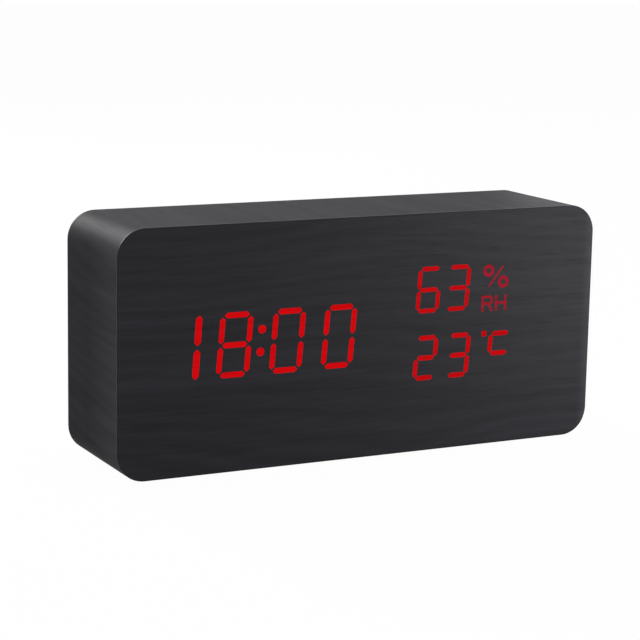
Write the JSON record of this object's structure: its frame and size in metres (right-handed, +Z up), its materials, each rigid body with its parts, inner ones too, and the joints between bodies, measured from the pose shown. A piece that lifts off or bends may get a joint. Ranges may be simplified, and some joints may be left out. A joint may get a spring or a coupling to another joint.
{
  "type": "digital desk clock",
  "caption": "Block-shaped desk clock in black wood-grain foil; a red segment display shines through its front, with buttons, a power inlet and a battery door at the back.",
  "frame": {"origin": "middle of the flat base, at the height of the surface that the clock stands on", "axes": "+X to the viewer's right along the width, +Y from the display to the back, +Z up"},
  "size_m": [0.15, 0.038, 0.069],
  "materials": {
    "black_woodgrain_foil": "matte",
    "fibreboard": "matte",
    "red_light": "gloss",
    "dim_red_light": "gloss",
    "diffuser_film": "matte",
    "reflector_plastic": "matte",
    "circuit_board": "satin",
    "light_chip": "gloss",
    "chip_package": "matte",
    "screw_steel": "satin",
    "black_panel_plastic": "matte",
    "button_plastic": "satin",
    "plunger_plastic": "satin",
    "nickel_plate": "satin",
    "sensor_housing": "matte",
    "thermistor_bead": "gloss",
    "capacitor_sleeve": "satin",
    "socket_plastic": "satin",
    "ribbon_jacket": "matte",
    "cell_jacket": "satin",
    "red_insulation": "satin",
    "black_insulation": "satin"
  },
  "bodies": {
    "clock": {"case_core": "fibreboard", "front_veneer": "black_woodgrain_foil", "wrap_veneer": "black_woodgrain_foil", "base_veneer": "black_woodgrain_foil", "rear_veneer": "black_woodgrain_foil", "time_segments": "red_light", "humidity_segments": "red_light", "temperature_segments": "red_light", "unit_marks": "dim_red_light", "diffuser_film": "diffuser_film", "reflector_block": "reflector_plastic", "display_board": "circuit_board", "led_chips": "light_chip", "driver_chip": "chip_package", "display_screws": "screw_steel", "rear_panel": "black_panel_plastic", "rear_panel_screws": "screw_steel", "switch_bodies": "chip_package", "control_board": "circuit_board", "control_board_screws": "screw_steel", "usb_socket": "nickel_plate", "usb_tongue": "chip_package", "buzzer": "chip_package", "microphone": "nickel_plate", "humidity_sensor": "sensor_housing", "thermistor": "thermistor_bead", "clock_chip": "chip_package", "crystal": "nickel_plate", "capacitor": "capacitor_sleeve", "resistors": "chip_package", "display_socket": "socket_plastic", "control_socket": "socket_plastic", "ribbon_cable": "ribbon_jacket", "top_cell": "cell_jacket", "middle_cell": "cell_jacket", "bottom_cell": "cell_jacket", "positive_contact": "nickel_plate", "negative_contact": "nickel_plate", "near_bridge": "nickel_plate", "far_bridge": "nickel_plate", "contact_springs": "nickel_plate", "red_wire": "red_insulation", "black_wire": "black_insulation"},
    "set_key": {"set_button": "button_plastic", "set_plunger": "plunger_plastic"},
    "up_key": {"up_button": "button_plastic", "up_plunger": "plunger_plastic"},
    "down_key": {"down_button": "button_plastic", "down_plunger": "plunger_plastic"},
    "door": {"battery_door": "black_panel_plastic"}
  },
  "joints": [
    {"name": "set_press", "type": "slide", "parent": "clock", "child": "set_key", "axis": [0, -1, 0], "range_m": [0, 0.0005], "stiffness_N_per_m": 1500, "springref_m": -0.0005},
    {"name": "up_press", "type": "slide", "parent": "clock", "child": "up_key", "axis": [0, -1, 0], "range_m": [0, 0.0005], "stiffness_N_per_m": 1500, "springref_m": -0.0005},
    {"name": "down_press", "type": "slide", "parent": "clock", "child": "down_key", "axis": [0, -1, 0], "range_m": [0, 0.0005], "stiffness_N_per_m": 1500, "springref_m": -0.0005},
    {"name": "door_hinge", "type": "hinge", "parent": "clock", "child": "door", "pos_m": [0.0335, 0.017, 0.05175], "axis": [1, 0, 0], "range_deg": [0, 75]}
  ]
}
